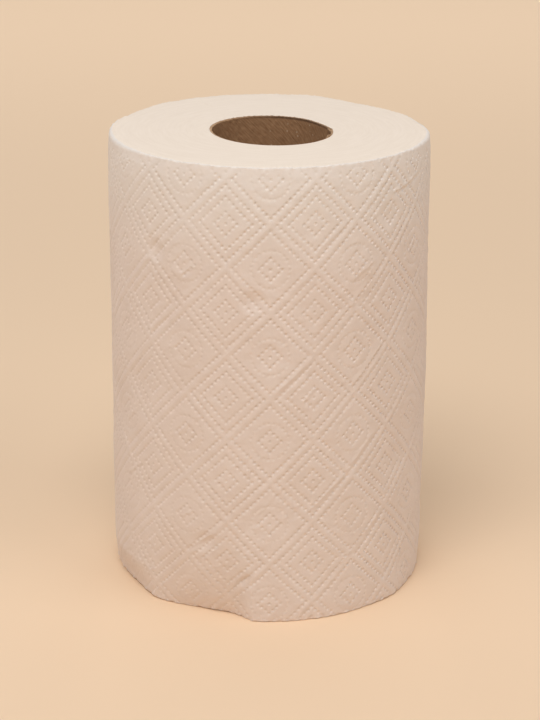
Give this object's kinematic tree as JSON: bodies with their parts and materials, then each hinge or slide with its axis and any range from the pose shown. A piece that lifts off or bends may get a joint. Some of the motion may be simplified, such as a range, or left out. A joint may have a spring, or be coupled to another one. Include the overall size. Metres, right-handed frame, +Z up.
{
  "type": "paper towel roll",
  "caption": "Roll of white embossed paper towel wound on a brown paperboard core, standing on end, for a holder's post.",
  "frame": {"origin": "on the core's axis, in the plane of the end that the roll stands on", "axes": "+Z up along the core, from the resting end; the roll's front faces -Y"},
  "size_m": [0.1319, 0.1322, 0.191],
  "materials": {
    "towel_paper": "matt, soft, embossed with small dots",
    "core_board": "matt unbleached board, spirally wound"
  },
  "bodies": {
    "root": {"paper_roll": "towel_paper", "core_tube": "core_board"}
  },
  "joints": []
}
